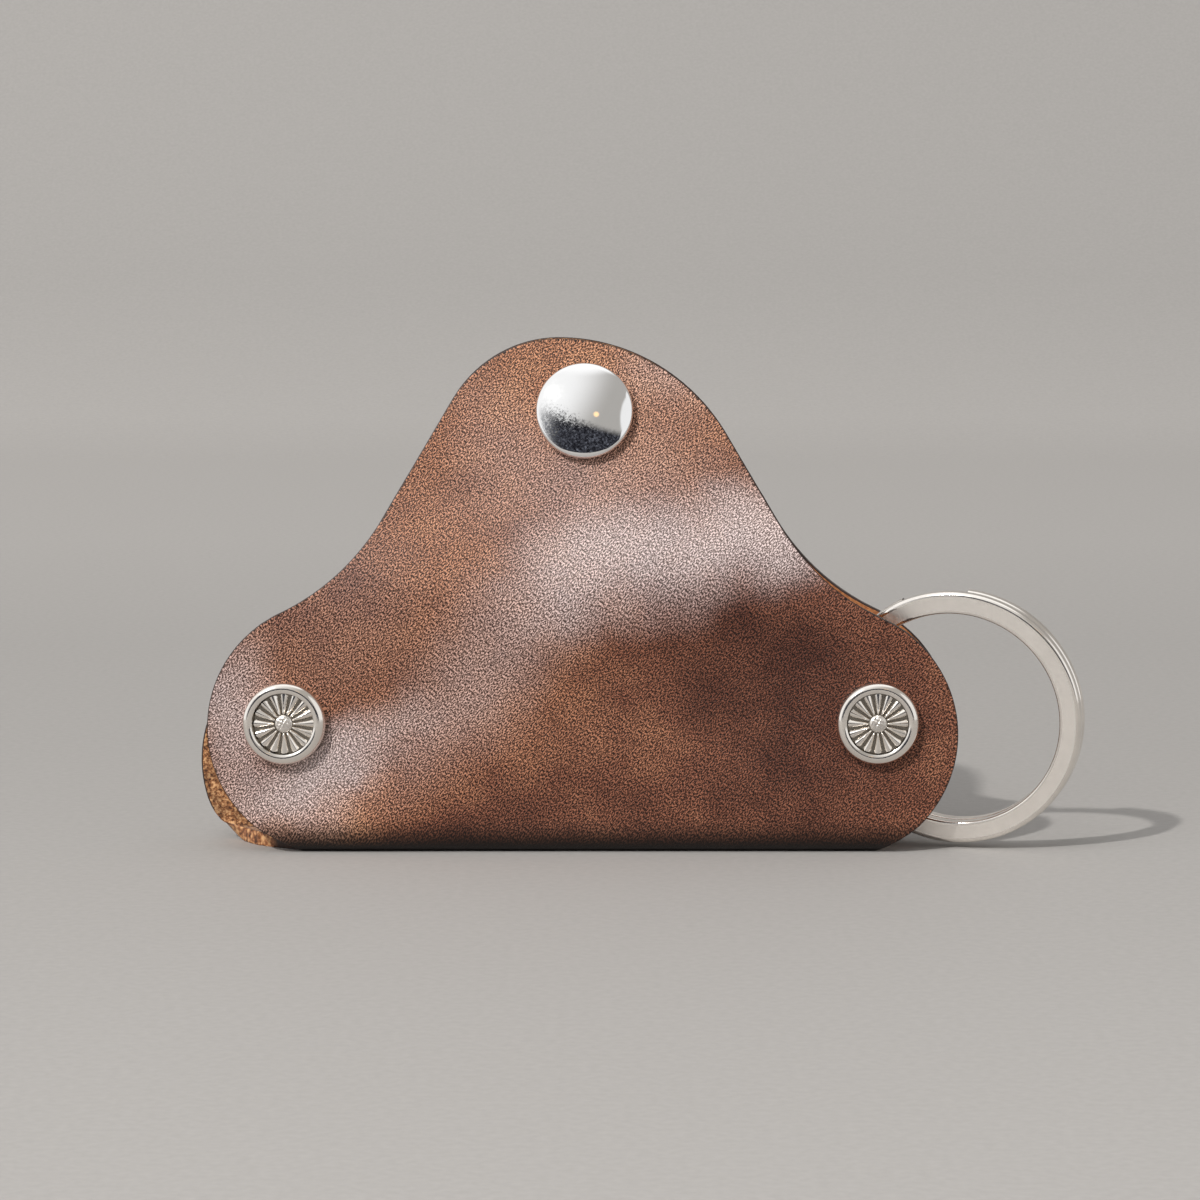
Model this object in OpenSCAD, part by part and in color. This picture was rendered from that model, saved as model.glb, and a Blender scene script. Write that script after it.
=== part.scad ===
// Folded leather key case: one leather sheet folded at the bottom into two bell-shaped panels,
// held together by two screw posts at the lower corners and a press stud in the top lobe.
// Keys hang on the posts between the panels. A flat split ring hangs on the right post.
// X runs to the right, Y to the back and Z up. The origin is the middle of the fold's flat foot.
// The part is drawn closed and standing, with the ring at rest on the end of the fold.

/* [Leather] */
// Thickness of the leather
leather_t = 1.8; // [1.4:0.1:2.2]
// Distance between the outer faces of the two panels, which is the grip of the posts
post_grip = 12.7; // [12:0.1:14]
// Outer radius of the two corners of the fold
fold_r = 2.8; // [2.4:0.1:4]
// Width of the slit where the front panel bends forward
flex_gap = 0.05; // [0.02:0.01:0.1]

/* [Outline of a panel] */
// Height of the panels, up to the peak of the lobe
panel_h = 65.4; // [62:0.1:69]
// Distance from the middle to the peak of the lobe, which leans to the left
lobe_shift = 3.1; // [0:0.1:4]
// Radius of the lobe to the left of its peak
lobe_left_r = 16; // [15:0.1:21]
// Radius of the lobe to the right of its peak
lobe_right_r = 25.2; // [19:0.1:27]
// Angle of the straight flank's outward normal above the horizontal
flank_angle = 30.6; // [28:0.1:33]
// Radius of the hollow neck
neck_r = 30.3; // [22:0.1:34]
// Radius of the shoulder and the lower corner
shoulder_r = 16.4; // [15.5:0.1:18]
// Distance from the middle to the centre of a shoulder
shoulder_x = 31.5; // [30:0.1:33]
// Height of the centre of a shoulder
shoulder_z = 15.2; // [14:0.1:16]
// How much higher the front panel's left shoulder lies, because the sheet is folded askew
front_raise = 0.9; // [0:0.1:1.2]
// Extra reach of the back panel's left shoulder, because the sheet is folded askew
back_wide = 1.8; // [0:0.1:2.2]
// How much lower the back panel's left shoulder lies
back_drop = 4.7; // [0:0.1:5]

/* [Side profile] */
// Height where the panels start to bend
bend_z = 30; // [28:0.1:32]
// Radius of the bends in the front panel
front_bend_r = 22; // [16:0.5:26]
// Steepest lean of the front panel towards the back
front_lean = 22; // [20:0.5:24]
// Length of the straight slope between the two bends of the front panel
slope_len = 6; // [5:0.1:8]
// Lean of both lobes towards the back
lobe_lean = 15; // [12:0.5:16]
// Radius of the bends in the back panel
back_bend_r = 20; // [16:0.5:22]
// Lean of the back panel towards the front, below its lobe
back_lean = 4; // [3.5:0.5:6]

/* [Screw posts] */
// Distance from the middle to each post
post_x = 37.7; // [36:0.1:38.5]
// Height of the posts
post_z = 16.9; // [15.5:0.1:17]
// Radius of a post's barrel
post_r = 2.25; // [2:0.05:2.4]
// Radius of the ornamental head
head_r = 5.25; // [4.8:0.05:5.6]
// Height of the head above the leather
head_t = 1.9; // [1.6:0.1:2.4]
// Width of the head's raised rim
rim_w = 1.3; // [1.1:0.05:1.6]
// Depth of the head's dish below the top of the rim
dish_depth = 0.95; // [0.8:0.05:1.2]
// Number of petals in the dish
petals = 16; // [12:1:20]
// Height of the petals above the floor of the dish
petal_h = 0.4; // [0.3:0.05:0.5]
// Width of the groove between two petals
petal_groove = 0.3; // [0.2:0.05:0.4]
// Radius of the round boss in the middle of the dish
boss_r = 1.1; // [0.9:0.05:1.3]
// Distance from the barrel's open end to the outer face of the back panel
barrel_short = 0.4; // [0.2:0.05:0.6]
// Depth of the barrel's thread
thread_depth = 8.5; // [8:0.1:9.5]

/* [Screws] */
// Radius of the screw's shank
screw_r = 1.55; // [1.4:0.05:1.6]
// Length of the shank under the head
screw_len = 7; // [6:0.1:7.5]
// Radius of the screw's head
screw_head_r = 4.6; // [4.2:0.1:5]
// Height of the screw's head
screw_head_t = 1.4; // [1.2:0.1:1.8]
// Bevel at the edge of the screw's head
screw_bevel = 0.4; // [0.2:0.05:0.6]
// Width of the screwdriver slot
slot_w = 1; // [0.8:0.1:1.3]
// Depth of the screwdriver slot
slot_depth = 0.8; // [0.6:0.05:0.9]

/* [Press stud] */
// Sideways place of the press stud
snap_x = 0.2; // [-0.5:0.1:0.8]
// Distance from the top of the lobe down to the press stud
snap_drop = 9.6; // [8.5:0.1:9.6]
// Gap between the two lobes at the press stud
snap_gap = 3; // [2.9:0.05:3.2]
// Radius of the domed cap
cap_r = 6.25; // [5.8:0.05:6.8]
// Height of the cap's side
cap_side = 0.9; // [0.6:0.05:1.2]
// Rise of the cap's dome above its side
cap_dome = 1.5; // [1.2:0.05:1.8]
// Radius of the tube that holds cap and socket together
cap_tube_r = 1.5; // [1.3:0.05:1.7]
// Radius of the socket
socket_r = 5.2; // [4.8:0.05:5.6]
// Thickness of the socket
socket_t = 2.1; // [2:0.05:2.2]
// Thickness of the socket's floor
socket_floor = 0.4; // [0.3:0.05:0.5]
// Thickness of the socket's spring
spring_t = 0.5; // [0.4:0.05:0.6]
// Width of the wire of the socket's spring
spring_w = 0.6; // [0.5:0.05:0.7]
// Opening in the spring, as an angle
spring_open = 40; // [30:1:60]
// Radius of the stud's flange
stud_flange_r = 4.9; // [4.5:0.05:5.2]
// Thickness of the stud's flange
stud_flange_t = 0.5; // [0.4:0.05:0.6]
// Radius of the stud's knob
stud_r = 1.95; // [1.85:0.05:2.1]
// Radius of the stud's neck
stud_neck_r = 1.7; // [1.65:0.05:1.75]
// Height of the knob and its neck above the flange
stud_h = 1.75; // [1.6:0.05:1.8]
// Radius of the eyelet's head on the back
eyelet_r = 4.5; // [4.2:0.05:4.6]
// Height of the eyelet's head
eyelet_t = 0.8; // [0.6:0.05:1]
// Radius of the eyelet's tube
eyelet_tube_r = 1.2; // [1.1:0.05:1.25]

/* [Split ring] */
// Outer radius of the ring
ring_r = 16.5; // [15.8:0.1:16.6]
// Width of the flat wire
wire_w = 2.8; // [2.6:0.1:3.1]
// Thickness of the flat wire, which makes two turns
wire_t = 1.6; // [1.4:0.05:1.65]
// Gap between the two turns
turn_gap = 0.12; // [0.1:0.01:0.16]
// Turn of the ring, its right side towards the front
ring_yaw = 17; // [12:0.5:18]
// Tilt of the ring, its top towards the front
ring_pitch = 6; // [3:0.5:6.5]
// Place along the post where the ring hangs
ring_y = 0.9; // [0.6:0.05:1]
// Clearance between the ring's inside and the post, all round while it swings
ring_clear = 0.12; // [0.08:0.01:0.2]
// Place of the wire's crossing between the panels, as an angle from the ring's right side
crossing_at = 203; // [195:1:215]
// Length of the wire's crossing from one turn to the other, as an angle
crossing = 26; // [20:1:30]

/* [Hidden] */
$fn = 64;

// Steps in each arc of an outline, and in each bend of the leather
arc_steps = 14;
bend_steps = 6;
// How far a cut runs past what it cuts
overrun = 1;
// Clearance round a post or tube in its hole in the leather, and round a screw in its barrel
hole_clear = 0.05;
thread_clear = 0.05;
// Clearance round the knob while the front panel swings away from it, and round the socket's spring
knob_clear = 0.3;
spring_clear = 0.04;
// Height of the ring's lowest point, because the ring leans on the end of the fold
ring_low = 0.65;
// Flat steps along the ring's wire, corners of its section, and the angle by which its free ends
// stop short of the crossing
wire_steps = 120;
corners = 4;
end_gap = 5;

brown = [0.37, 0.21, 0.14];
nickel = [0.80, 0.77, 0.72];
chrome = [0.85, 0.86, 0.88];
steel = [0.66, 0.66, 0.66];

// Side profile: a place is [y, z] and a lean is the angle from upright towards the back

function heading(lean) = [sin(lean), cos(lean)];
function across(lean) = [cos(lean), -sin(lean)];
function bend(start, from, to, r) =
    start + sign(to - from) * r * [cos(from) - cos(to), sin(to) - sin(from)];
function bend_run(start, from, to, r) = [
    for (i = [0:bend_steps])
        let (lean = from + (to - from) * i / bend_steps)
            [bend(start, from, lean, r), lean]
];
// The closed outline of leather that follows a run of [place, lean]
function strip(run) = concat(
    [for (step = run) step[0] - across(step[1]) * leather_t / 2],
    [for (i = [len(run) - 1:-1:0]) run[i][0] + across(run[i][1]) * leather_t / 2]
);

half_grip = post_grip / 2;
mid_y = half_grip - leather_t / 2;
corner_r = fold_r - leather_t / 2;
corner_y = half_grip - fold_r;

front_low = [-mid_y, bend_z + flex_gap];
front_mid = bend(front_low, 0, front_lean, front_bend_r);
front_high = front_mid + slope_len * heading(front_lean);
front_end = bend(front_high, front_lean, lobe_lean, front_bend_r);
front_rise = (panel_h + overrun - front_end[1]) / cos(lobe_lean);
front_run = concat(
    bend_run(front_low, 0, front_lean, front_bend_r),
    bend_run(front_high, front_lean, lobe_lean, front_bend_r),
    [[front_end + front_rise * heading(lobe_lean), lobe_lean]]
);

// The back panel's straight stretch is as long as brings its lobe to the gap at the press stud
back_low = [mid_y, bend_z];
back_mid = bend(back_low, 0, -back_lean, back_bend_r);
back_near = bend(back_mid, -back_lean, lobe_lean, back_bend_r);
lobe_pitch = leather_t + snap_gap;
back_len = ((back_near - front_end) * across(lobe_lean) - lobe_pitch) / sin(back_lean + lobe_lean);
back_high = back_mid + back_len * heading(-back_lean);
back_end = bend(back_high, -back_lean, lobe_lean, back_bend_r);
back_rise = (panel_h + overrun - back_end[1]) / cos(lobe_lean);
back_run = concat(
    [[[-mid_y, bend_z], 180]],
    bend_run([-mid_y, fold_r], 180, 90, corner_r),
    bend_run([corner_y, leather_t / 2], 90, 0, corner_r),
    bend_run(back_low, 0, -back_lean, back_bend_r),
    bend_run(back_high, -back_lean, lobe_lean, back_bend_r),
    [[back_end + back_rise * heading(lobe_lean), lobe_lean]]
);

// Front outline: a place is [x, z]

function around(centre, r, angle) = centre + r * [cos(angle), sin(angle)];
function arc(centre, r, from, to) = [
    for (i = [0:arc_steps]) around(centre, r, from + (to - from) * i / arc_steps)
];
right_corner = [shoulder_x, shoulder_z];
front_corner = [shoulder_x, shoulder_z + front_raise];
back_corner = [shoulder_x + back_wide, shoulder_z - back_drop];
// The neck's arc touches both the flank and the shoulder, whose centre is the corner
function neck(lobe, lobe_r, corner) =
    let (
        out = around([0, 0], 1, flank_angle),
        far = lobe_r + neck_r + out * (lobe - corner),
        reach = neck_r + shoulder_r
    )
        corner + far * out + sqrt(reach * reach - far * far) * [-out[1], out[0]];
function half_outline(peak_x, lobe_r, corner) =
    let (
        lobe = [peak_x, panel_h - lobe_r],
        centre = neck(lobe, lobe_r, corner),
        meet = atan2(centre[1] - corner[1], centre[0] - corner[0])
    )
        concat(
            arc(lobe, lobe_r, 90, flank_angle),
            arc(centre, neck_r, 180 + flank_angle, 180 + meet),
            arc(corner, shoulder_r, meet, -90)
        );
function outline(left_corner) =
    let (
        right_half = half_outline(-lobe_shift, lobe_right_r, right_corner),
        left_half = half_outline(lobe_shift, lobe_left_r, left_corner)
    )
        concat(
            right_half,
            [for (i = [len(left_half) - 1:-1:1]) [-left_half[i][0], left_half[i][1]]]
        );

block_w = 2 * (shoulder_x + back_wide + shoulder_r + overrun);
block_d = 2 * (post_grip + overrun);

module panel_blank(run) {
    rotate([90, 0, 90])
        linear_extrude(height = block_w, center = true)
            polygon(strip(run));
}

module panel_cutter(left_corner) {
    rotate([90, 0, 0])
        linear_extrude(height = block_d, center = true)
            polygon(outline(left_corner));
}

// The half space in front of the middle plane, or behind it
module half_space(side) {
    translate([-block_w / 2, side < 0 ? -block_d / 2 : 0, -overrun])
        cube([block_w, block_d / 2, panel_h + 2 * overrun]);
}

// A post's frame: its axis runs to the front, from the middle plane
module at_post(x) {
    translate([x, 0, post_z]) rotate([90, 0, 0]) children();
}

// The press stud's frame: its axis runs to the front, from the middle of the front lobe's leather
snap_z = panel_h - snap_drop;
snap_up = (snap_z - front_end[1]) / cos(lobe_lean);
snap_y = front_end[0] + snap_up * sin(lobe_lean);
module at_snap() {
    translate([snap_x, snap_y, snap_z]) rotate([90 - lobe_lean, 0, 0]) children();
}

module leather_body() {
    color(brown)
        difference() {
            union() {
                intersection() {
                    panel_blank(back_run);
                    panel_cutter(front_corner);
                    half_space(-1);
                }
                intersection() {
                    panel_blank(back_run);
                    panel_cutter(back_corner);
                    half_space(1);
                }
            }
            for (side = [-1, 1])
                at_post(side * post_x)
                    cylinder(r = post_r + hole_clear, h = block_d, center = true);
            at_snap()
                translate([0, 0, -block_d])
                    cylinder(r = eyelet_tube_r + hole_clear, h = block_d);
        }
}

module front_flap() {
    color(brown)
        difference() {
            intersection() {
                panel_blank(front_run);
                panel_cutter(front_corner);
            }
            at_snap()
                cylinder(r = cap_tube_r + hole_clear, h = 2 * leather_t, center = true);
        }
}

dish_r = head_r - rim_w;
round_r = rim_w / 2;
dish_floor = head_t - dish_depth;
petal_top = dish_floor + petal_h;
boss_rise = boss_r / 3;

// The head's section, with the rim's top and the boss rounded in steps
module head_section() {
    polygon(concat(
        [[0, 0], [head_r, 0]],
        [
            for (i = [0:bend_steps])
                around([head_r - round_r, head_t - round_r], round_r, 180 * i / bend_steps)
        ],
        [[dish_r, petal_top], [boss_r, petal_top]],
        [
            for (i = [1:bend_steps])
                let (angle = 90 * i / bend_steps)
                    [boss_r * cos(angle), petal_top + boss_rise * sin(angle)]
        ]
    ));
}

// The grooves leave a narrow land round the boss and inside the rim
groove_in = boss_r + petal_groove / 2;
groove_out = dish_r - petal_groove / 2;
module post_head() {
    difference() {
        rotate_extrude() head_section();
        for (i = [0:petals - 1])
            rotate(360 * i / petals)
                translate([groove_in, -petal_groove / 2, dish_floor])
                    cube([groove_out - groove_in, petal_groove, dish_depth]);
    }
}

module screw_post(x) {
    color(nickel)
        at_post(x)
            difference() {
                union() {
                    translate([0, 0, half_grip]) post_head();
                    translate([0, 0, barrel_short - half_grip])
                        cylinder(r = post_r, h = post_grip - barrel_short);
                }
                translate([0, 0, -half_grip])
                    cylinder(r = screw_r + thread_clear, h = barrel_short + thread_depth);
            }
}

module left_post() { screw_post(-post_x); }
module right_post() { screw_post(post_x); }

module screw(x) {
    color(nickel)
        at_post(x)
            translate([0, 0, -half_grip]) {
                cylinder(r = screw_r, h = screw_len);
                difference() {
                    rotate_extrude()
                        polygon([
                            [0, 0],
                            [0, -screw_head_t],
                            [screw_head_r - screw_bevel, -screw_head_t],
                            [screw_head_r, screw_bevel - screw_head_t],
                            [screw_head_r, 0]
                        ]);
                    translate([-screw_head_r, -slot_w / 2, -screw_head_t - overrun])
                        cube([2 * screw_head_r, slot_w, slot_depth + overrun]);
                }
            }
}

module left_screw() { screw(-post_x); }
module right_screw() { screw(post_x); }

// Heights on the press stud's axis, from the middle of the front lobe's leather
front_face = leather_t / 2;
front_inside = -leather_t / 2;
back_inside = front_inside - snap_gap;
back_face = back_inside - leather_t;
socket_mouth = front_inside - socket_t;

// The dome is part of a sphere that meets the cap's side
dome_r = (cap_r * cap_r + cap_dome * cap_dome) / (2 * cap_dome);

module snap_cap() {
    color(chrome)
        at_snap() {
            translate([0, 0, front_face]) {
                cylinder(r = cap_r, h = cap_side);
                intersection() {
                    translate([0, 0, cap_side]) cylinder(r = cap_r, h = 2 * cap_dome);
                    translate([0, 0, cap_side + cap_dome - dome_r]) sphere(r = dome_r, $fn = 128);
                }
            }
            translate([0, 0, front_inside - socket_floor])
                cylinder(r = cap_tube_r, h = leather_t + socket_floor);
        }
}

knob_bore = stud_r + knob_clear;
spring_out = knob_bore + spring_w;
spring_low = (socket_mouth + front_inside - socket_floor - spring_t) / 2;

module snap_socket() {
    color(steel)
        at_snap()
            difference() {
                translate([0, 0, socket_mouth]) cylinder(r = socket_r, h = socket_t);
                translate([0, 0, socket_mouth - overrun])
                    cylinder(r = knob_bore, h = socket_t - socket_floor + overrun);
                translate([0, 0, spring_low - spring_clear])
                    cylinder(r = spring_out + spring_clear, h = spring_t + 2 * spring_clear);
                translate([0, 0, front_inside - socket_floor - overrun])
                    cylinder(r = cap_tube_r + hole_clear, h = socket_floor + 2 * overrun);
            }
}

module snap_spring() {
    color(chrome)
        at_snap()
            translate([0, 0, spring_low])
                rotate(90 + spring_open / 2)
                    rotate_extrude(angle = 360 - spring_open)
                        translate([knob_bore, 0]) square([spring_w, spring_t]);
}

module snap_stud() {
    color(steel)
        at_snap()
            difference() {
                translate([0, 0, back_inside])
                    rotate_extrude()
                        polygon([
                            [0, 0],
                            [stud_flange_r, 0],
                            [stud_flange_r, stud_flange_t],
                            [stud_neck_r, stud_flange_t],
                            [stud_neck_r, stud_flange_t + stud_h / 3],
                            [stud_r, stud_flange_t + stud_h / 2],
                            [stud_r, stud_flange_t + stud_h * 3 / 4],
                            [stud_neck_r, stud_flange_t + stud_h],
                            [0, stud_flange_t + stud_h]
                        ]);
                translate([0, 0, back_inside - overrun])
                    cylinder(r = eyelet_tube_r + hole_clear, h = stud_flange_t + stud_h + 2 * overrun);
            }
}

module snap_eyelet() {
    color(nickel)
        at_snap()
            difference() {
                union() {
                    translate([0, 0, back_face - eyelet_t])
                        rotate_extrude()
                            polygon([
                                [0, 0],
                                [eyelet_r - eyelet_t, 0],
                                [eyelet_r, eyelet_t],
                                [0, eyelet_t]
                            ]);
                    translate([0, 0, back_face])
                        cylinder(r = eyelet_tube_r, h = leather_t + stud_flange_t + stud_h);
                }
                translate([0, 0, back_face - eyelet_t - overrun])
                    cylinder(r = eyelet_tube_r / 2, h = block_d);
            }
}

// The ring's frame is its own plane, and its place along X leaves the clearance at the post
ring_in = ring_r - wire_w;
ring_t = 2 * wire_t + turn_gap;
ring_reach = ring_in - ring_clear - post_r / cos(ring_yaw) - ring_t / 2 * tan(ring_yaw);
ring_z = ring_r * cos(ring_pitch) + ring_t / 2 * sin(ring_pitch) + ring_low;
ring_lift = (ring_z - post_z) / cos(ring_pitch);
ring_side = sqrt(ring_reach * ring_reach - ring_lift * ring_lift);

// The wire runs clockwise from the front turn's free end, crosses over and ends with the back turn
wire_start = 360 - crossing - end_gap;
wire_end = end_gap - 360;
function wire_share(angle) = (1 - cos(180 * max(0, min(1, -angle / crossing)))) / 2;
function wire_low(angle) = turn_gap / 2 - wire_share(angle) * (wire_t + turn_gap);
function wire_corners(angle) =
    let (low = wire_low(angle))
        [
            for (corner = [[ring_in, low], [ring_r, low], [ring_r, low + wire_t], [ring_in, low + wire_t]])
                [corner[0] * cos(angle), corner[0] * sin(angle), corner[1]]
        ];

module wire() {
    points = [
        for (i = [0:wire_steps])
            each wire_corners(wire_start + (wire_end - wire_start) * i / wire_steps)
    ];
    last = corners * wire_steps;
    sides = [
        for (i = [0:wire_steps - 1])
            for (side = [0:corners - 1])
                let (
                    here = corners * i + side,
                    beside = corners * i + (side + 1) % corners
                )
                    each [[here, here + corners, beside + corners], [here, beside + corners, beside]]
    ];
    ends = [[0, 1, 2], [0, 2, 3], [last, last + 2, last + 1], [last, last + 3, last + 2]];
    polyhedron(points, concat(sides, ends));
}

module key_ring() {
    color(nickel)
        translate([post_x, ring_y, post_z])
            rotate([ring_pitch, 0, -ring_yaw])
                rotate([90, 0, 0])
                    translate([ring_side, ring_lift, 0])
                        rotate(crossing_at)
                            wire();
}

leather_body();
front_flap();
left_post();
right_post();
left_screw();
right_screw();
snap_cap();
snap_socket();
snap_spring();
snap_stud();
snap_eyelet();
key_ring();
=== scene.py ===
# %% [markdown]
# # A folded leather key case, modelled step by step
#
# The object is one sheet of waxed brown leather, folded at the bottom into two bell-shaped panels.
# Two screw posts with ornamental heads hold the lower corners, a press stud closes the top, and a
# flat split ring hangs on the right post. A measured model of the same object is loaded first, and
# every piece here is built in its frame: X to the right, Y to the back, Z up, in metres, with the
# origin in the middle of the flat foot under the fold.

import math

import bmesh
import bpy
import numpy as np
from mathutils import Matrix, Vector


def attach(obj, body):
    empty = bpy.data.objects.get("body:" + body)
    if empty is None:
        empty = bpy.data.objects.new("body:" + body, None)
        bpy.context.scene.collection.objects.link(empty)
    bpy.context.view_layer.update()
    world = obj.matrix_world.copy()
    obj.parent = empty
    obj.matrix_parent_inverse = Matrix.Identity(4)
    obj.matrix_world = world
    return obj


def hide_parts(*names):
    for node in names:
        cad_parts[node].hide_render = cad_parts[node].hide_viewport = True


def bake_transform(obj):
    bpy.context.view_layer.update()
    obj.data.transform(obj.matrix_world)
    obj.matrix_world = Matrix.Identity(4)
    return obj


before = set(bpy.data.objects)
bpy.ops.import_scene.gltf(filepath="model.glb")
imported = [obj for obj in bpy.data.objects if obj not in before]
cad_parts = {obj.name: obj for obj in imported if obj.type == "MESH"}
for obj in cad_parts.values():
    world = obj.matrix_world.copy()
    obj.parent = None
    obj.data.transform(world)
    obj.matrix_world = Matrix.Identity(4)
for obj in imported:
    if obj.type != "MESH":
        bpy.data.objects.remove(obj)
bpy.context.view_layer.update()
print("measured nodes:", sorted(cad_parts))

# %% [markdown]
# ## Small helpers
#
# An operator in Blender acts on all that is selected, and the loaded model is selected at first, so
# each piece starts by deselecting everything. A finished piece has its place in its mesh, with its
# object at the origin, so `settle` moves the object and then applies the move to the mesh.

# %% Helpers for selecting, placing and finishing a piece
MM = 0.001


def deselect_all():
    if bpy.context.mode != "OBJECT":
        bpy.ops.object.mode_set(mode="OBJECT")
    bpy.ops.object.select_all(action="DESELECT")


def make_active(piece):
    deselect_all()
    piece.select_set(True)
    bpy.context.view_layer.objects.active = piece


def name_piece(name):
    piece = bpy.context.object
    piece.name = name
    piece.data.name = name
    return piece


def settle(piece, place=Matrix.Identity(4)):
    """Moves the piece by the matrix and puts the move into its mesh."""
    make_active(piece)
    piece.matrix_world = place @ piece.matrix_world
    bpy.ops.object.transform_apply(location=True, rotation=True, scale=True)


def select_parts(kind, test):
    """In edit mode, selects only the vertices, edges or faces that pass the test."""
    bpy.ops.mesh.select_mode(type=kind)
    bpy.ops.mesh.select_all(action="DESELECT")
    mesh = bmesh.from_edit_mesh(bpy.context.object.data)
    parts = {"VERT": mesh.verts, "EDGE": mesh.edges, "FACE": mesh.faces}[kind]
    count = 0
    for part in parts:
        if test(part):
            part.select_set(True)
            count += 1
    mesh.select_flush_mode()
    bmesh.update_edit_mesh(bpy.context.object.data)
    return count


def smooth(piece, angle):
    make_active(piece)
    bpy.ops.object.shade_smooth_by_angle(angle=math.radians(angle))


def apply_modifiers(piece):
    make_active(piece)
    for modifier in list(piece.modifiers):
        bpy.ops.object.modifier_apply(modifier=modifier.name)


def finish_mesh(merge=0.0):
    """In edit mode, merges points that meet, turns the faces outwards and leaves edit mode."""
    bpy.ops.mesh.select_all(action="SELECT")
    if merge:
        bpy.ops.mesh.remove_doubles(threshold=merge)
    bpy.ops.mesh.normals_make_consistent(inside=False)
    bpy.ops.object.mode_set(mode="OBJECT")


def report(piece):
    size = [round(value / MM, 2) for value in piece.dimensions]
    print(piece.name, "has", len(piece.data.polygons), "faces and measures", size, "mm")


# %% [markdown]
# A round piece is a half section turned about an axis. By hand it starts as one point, which is
# extruded from corner to corner of the section, and the Spin tool then turns the line. The section
# is a list of (radius, height) in millimetres.

# %% Turn a half section into a round piece
TURN_STEPS = 96


def turned(name, section, steps=TURN_STEPS):
    deselect_all()
    first = (section[0][0] * MM, 0, section[0][1] * MM)
    bpy.ops.mesh.primitive_plane_add(size=MM, location=first)
    piece = name_piece(name)
    settle(piece)
    bpy.ops.object.mode_set(mode="EDIT")
    bpy.ops.mesh.select_mode(type="VERT")
    bpy.ops.mesh.select_all(action="SELECT")
    bpy.ops.mesh.merge(type="CENTER")
    for (r0, h0), (r1, h1) in zip(section, section[1:]):
        step = ((r1 - r0) * MM, 0, (h1 - h0) * MM)
        bpy.ops.mesh.extrude_region_move(TRANSFORM_OT_translate={"value": step})
    bpy.ops.mesh.select_all(action="SELECT")
    bpy.ops.mesh.spin(steps=steps, angle=2 * math.pi, center=(0, 0, 0), axis=(0, 0, 1))
    finish_mesh(merge=0.002 * MM)
    return piece


def rounded(centre, radius, start, end, steps):
    """Points of a small arc in a section, with its angles in degrees."""
    points = []
    for step in range(steps + 1):
        angle = math.radians(start + (end - start) * step / steps)
        points.append((centre[0] + radius * math.cos(angle), centre[1] + radius * math.sin(angle)))
    return points


# %% [markdown]
# ## Building materials from nodes
#
# `put` adds one shader node, and `feed` sets or links the inputs of a node, so that a material
# reads from top to bottom like a recipe.

# %% Helpers for materials
def feed(tree, node, inputs):
    """Sets each input to the value given, or links it if that is another node's output."""
    for socket, value in inputs.items():
        if isinstance(value, bpy.types.NodeSocket):
            tree.links.new(value, node.inputs[socket])
        else:
            node.inputs[socket].default_value = value


def put(tree, kind, inputs=None, **settings):
    made = tree.nodes.new(kind)
    for name, value in settings.items():
        setattr(made, name, value)
    feed(tree, made, inputs or {})
    return made


def blank_material(name):
    material = bpy.data.materials.new(name)
    material.use_nodes = True
    tree = material.node_tree
    return material, tree, tree.nodes["Principled BSDF"]


def colour(red, green, blue):
    """A colour written as on the screen, 0 to 255, made linear for the shader."""
    def linear(value):
        value /= 255
        return value / 12.92 if value <= 0.04045 else ((value + 0.055) / 1.055) ** 2.4
    return (linear(red), linear(green), linear(blue), 1)


def ramp(tree, factor, stops):
    made = put(tree, "ShaderNodeValToRGB", {"Fac": factor})
    while len(made.color_ramp.elements) < len(stops):
        made.color_ramp.elements.new(0.5)
    for element, (place, shade) in zip(made.color_ramp.elements, stops):
        element.position = place
        element.color = shade if len(shade) == 4 else (*shade, 1)
    return made.outputs["Color"]


def grey(value):
    return (value, value, value, 1)


def calc(tree, operation, first, second):
    inputs = {0: first, 1: second}
    return put(tree, "ShaderNodeMath", inputs, operation=operation).outputs["Value"]


def mixed(tree, factor, first, second, blend_type="MIX"):
    # The node numbers its sockets: 6 and 7 are the two colours that go in, and 2 comes out.
    inputs = {0: factor, 6: first, 7: second}
    return put(tree, "ShaderNodeMix", inputs, data_type="RGBA", blend_type=blend_type).outputs[2]


def noise(tree, place, scale, detail, roughness=0.5):
    inputs = {"Vector": place, "Scale": scale, "Detail": detail, "Roughness": roughness}
    return put(tree, "ShaderNodeTexNoise", inputs).outputs


def lifted(tree, height, depth, strength=1.0):
    """A bump as deep as given, in millimetres."""
    inputs = {"Height": height, "Strength": strength, "Distance": depth * MM}
    return put(tree, "ShaderNodeBump", inputs).outputs["Normal"]


# %% [markdown]
# ## Camera, floor and light
#
# The photograph looks at the front, level with the object's middle and about six degrees down, from
# half a metre away. The camera's lens is long, so the panels look almost flat.

# %% Camera
VIEW_DOWN = math.radians(6)
VIEW_DISTANCE = 530 * MM
FRAME_WIDTH = 152.5 * MM
SENSOR = 36
view_target = Vector((2.2 * MM, -6.35 * MM, 32.6 * MM))
view_from = view_target - VIEW_DISTANCE * Vector((0, math.cos(VIEW_DOWN), -math.sin(VIEW_DOWN)))
deselect_all()
bpy.ops.object.camera_add(location=view_from, rotation=(math.pi / 2 - VIEW_DOWN, 0, 0))
camera = bpy.context.object
camera.data.sensor_width = SENSOR
camera.data.lens = SENSOR * VIEW_DISTANCE / FRAME_WIDTH
camera.data.clip_start = 10 * MM
bpy.context.scene.camera = camera
print("camera lens:", round(camera.data.lens, 1), "mm")

# %% [markdown]
# The floor is a pale sweep of paper that curves up behind the object, so there is no horizon. By
# hand it is a plane whose back edge is extruded along a quarter circle and then straight up.

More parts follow.
